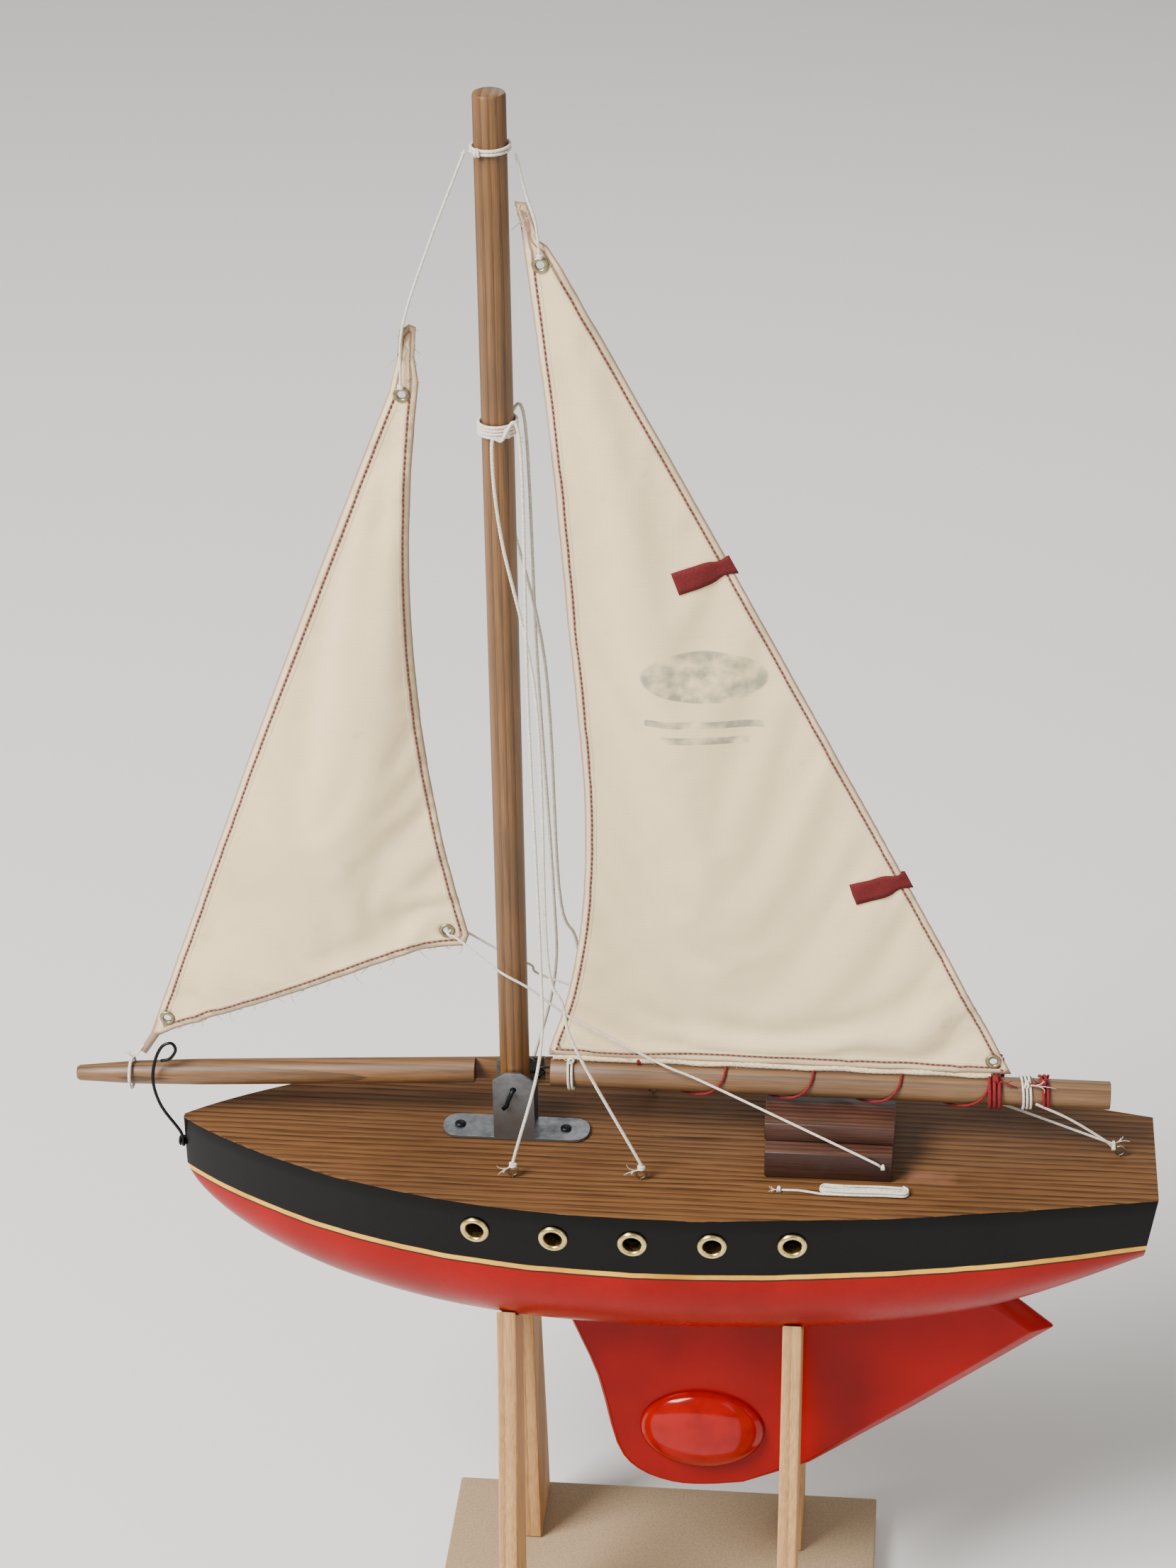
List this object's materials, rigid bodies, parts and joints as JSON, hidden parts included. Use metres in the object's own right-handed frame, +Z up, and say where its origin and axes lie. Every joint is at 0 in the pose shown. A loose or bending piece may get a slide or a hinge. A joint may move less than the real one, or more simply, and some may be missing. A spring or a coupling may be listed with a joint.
{
  "type": "model pond yacht on a cradle stand",
  "caption": "Small wooden sailing yacht with fixed mast, swinging boom and jib, on a low cradle stand it lifts off.",
  "frame": {"origin": "centre of the stand's flat underside, on the floor", "axes": "+Z up along the mast, -X towards the bow, -Y to the port side"},
  "size_m": [0.3881, 0.12, 0.615],
  "materials": {
    "hull_paint": "satin enamel on wood, black above, yellow line, red below",
    "keel_paint": "glossy enamel on wood",
    "ballast_paint": "glossy enamel on cast metal",
    "spar_wood": "stained, worn",
    "dark_wood": "dark stain, worn edges",
    "pale_wood": "bare softwood",
    "fibreboard": "bare board",
    "sailcloth": "aged cotton",
    "cord": "twisted cotton string",
    "red_thread": "dyed thread and tape",
    "zinc_sheet": "dull grey sheet",
    "brass": "worn brass",
    "dark_steel": "blackened wire"
  },
  "bodies": {
    "stand": {"stand_arm_port_aft": "pale_wood", "stand_arm_port_fore": "pale_wood", "stand_arm_starboard_aft": "pale_wood", "stand_arm_starboard_fore": "pale_wood", "stand_base": "fibreboard"},
    "hull": {"ballast_port": "ballast_paint", "ballast_starboard": "ballast_paint", "bowsprit": "spar_wood", "bracket_nail_aft": "dark_steel", "bracket_nail_fore": "dark_steel", "bracket_pin": "dark_steel", "cabin_step": "dark_wood", "cabin_top": "dark_wood", "deck_hank": "cord", "deck_hank_lead": "cord", "gooseneck_eye": "dark_steel", "hull": "hull_paint", "jib_sheet": "cord", "jib_tack_tie": "cord", "keel": "keel_paint", "main_sheet": "cord", "mast": "spar_wood", "mast_bracket": "zinc_sheet", "masthead_lashing": "cord", "porthole_port_1": "brass", "porthole_port_2": "brass", "porthole_port_3": "brass", "porthole_port_4": "brass", "porthole_port_5": "brass", "porthole_starboard_1": "brass", "porthole_starboard_2": "brass", "porthole_starboard_3": "brass", "porthole_starboard_4": "brass", "porthole_starboard_5": "brass", "shroud_band": "cord", "shroud_eye_port_aft": "brass", "shroud_eye_port_fore": "brass", "shroud_eye_starboard_aft": "brass", "shroud_eye_starboard_fore": "brass", "shroud_port": "cord", "shroud_starboard": "cord", "stem_nail": "dark_steel", "stem_wire": "dark_steel", "stern_eye": "brass"},
    "boom": {"boom": "spar_wood", "gooseneck_hook": "dark_steel", "foot_lacing": "red_thread", "clew_lashing": "red_thread", "tack_lashing": "cord", "mainsail": "sailcloth", "main_grommet_clew": "brass", "main_grommet_head": "brass", "ribbon_upper": "red_thread", "ribbon_lower": "red_thread", "main_halyard": "cord"},
    "jib": {"jib": "sailcloth", "jib_grommet_clew": "brass", "jib_grommet_head": "brass", "jib_grommet_tack": "brass", "jib_halyard": "cord"}
  },
  "joints": [
    {"name": "boat_lift", "type": "slide", "parent": "stand", "child": "hull", "axis": [0, 0, 1], "range_m": [0, 0.15]},
    {"name": "boom_swing", "type": "hinge", "parent": "hull", "child": "boom", "pos_m": [-0.0414, 0, 0.252], "axis": [-0.0075, 0, 1], "range_deg": [-15, 15], "deforming": ["jib_sheet", "main_sheet"]},
    {"name": "jib_swing", "type": "hinge", "parent": "hull", "child": "jib", "pos_m": [-0.1892, 0, 0.2473], "axis": [0.3552, 0, 0.9348], "range_deg": [-12, 12], "deforming": ["jib_sheet"]}
  ]
}
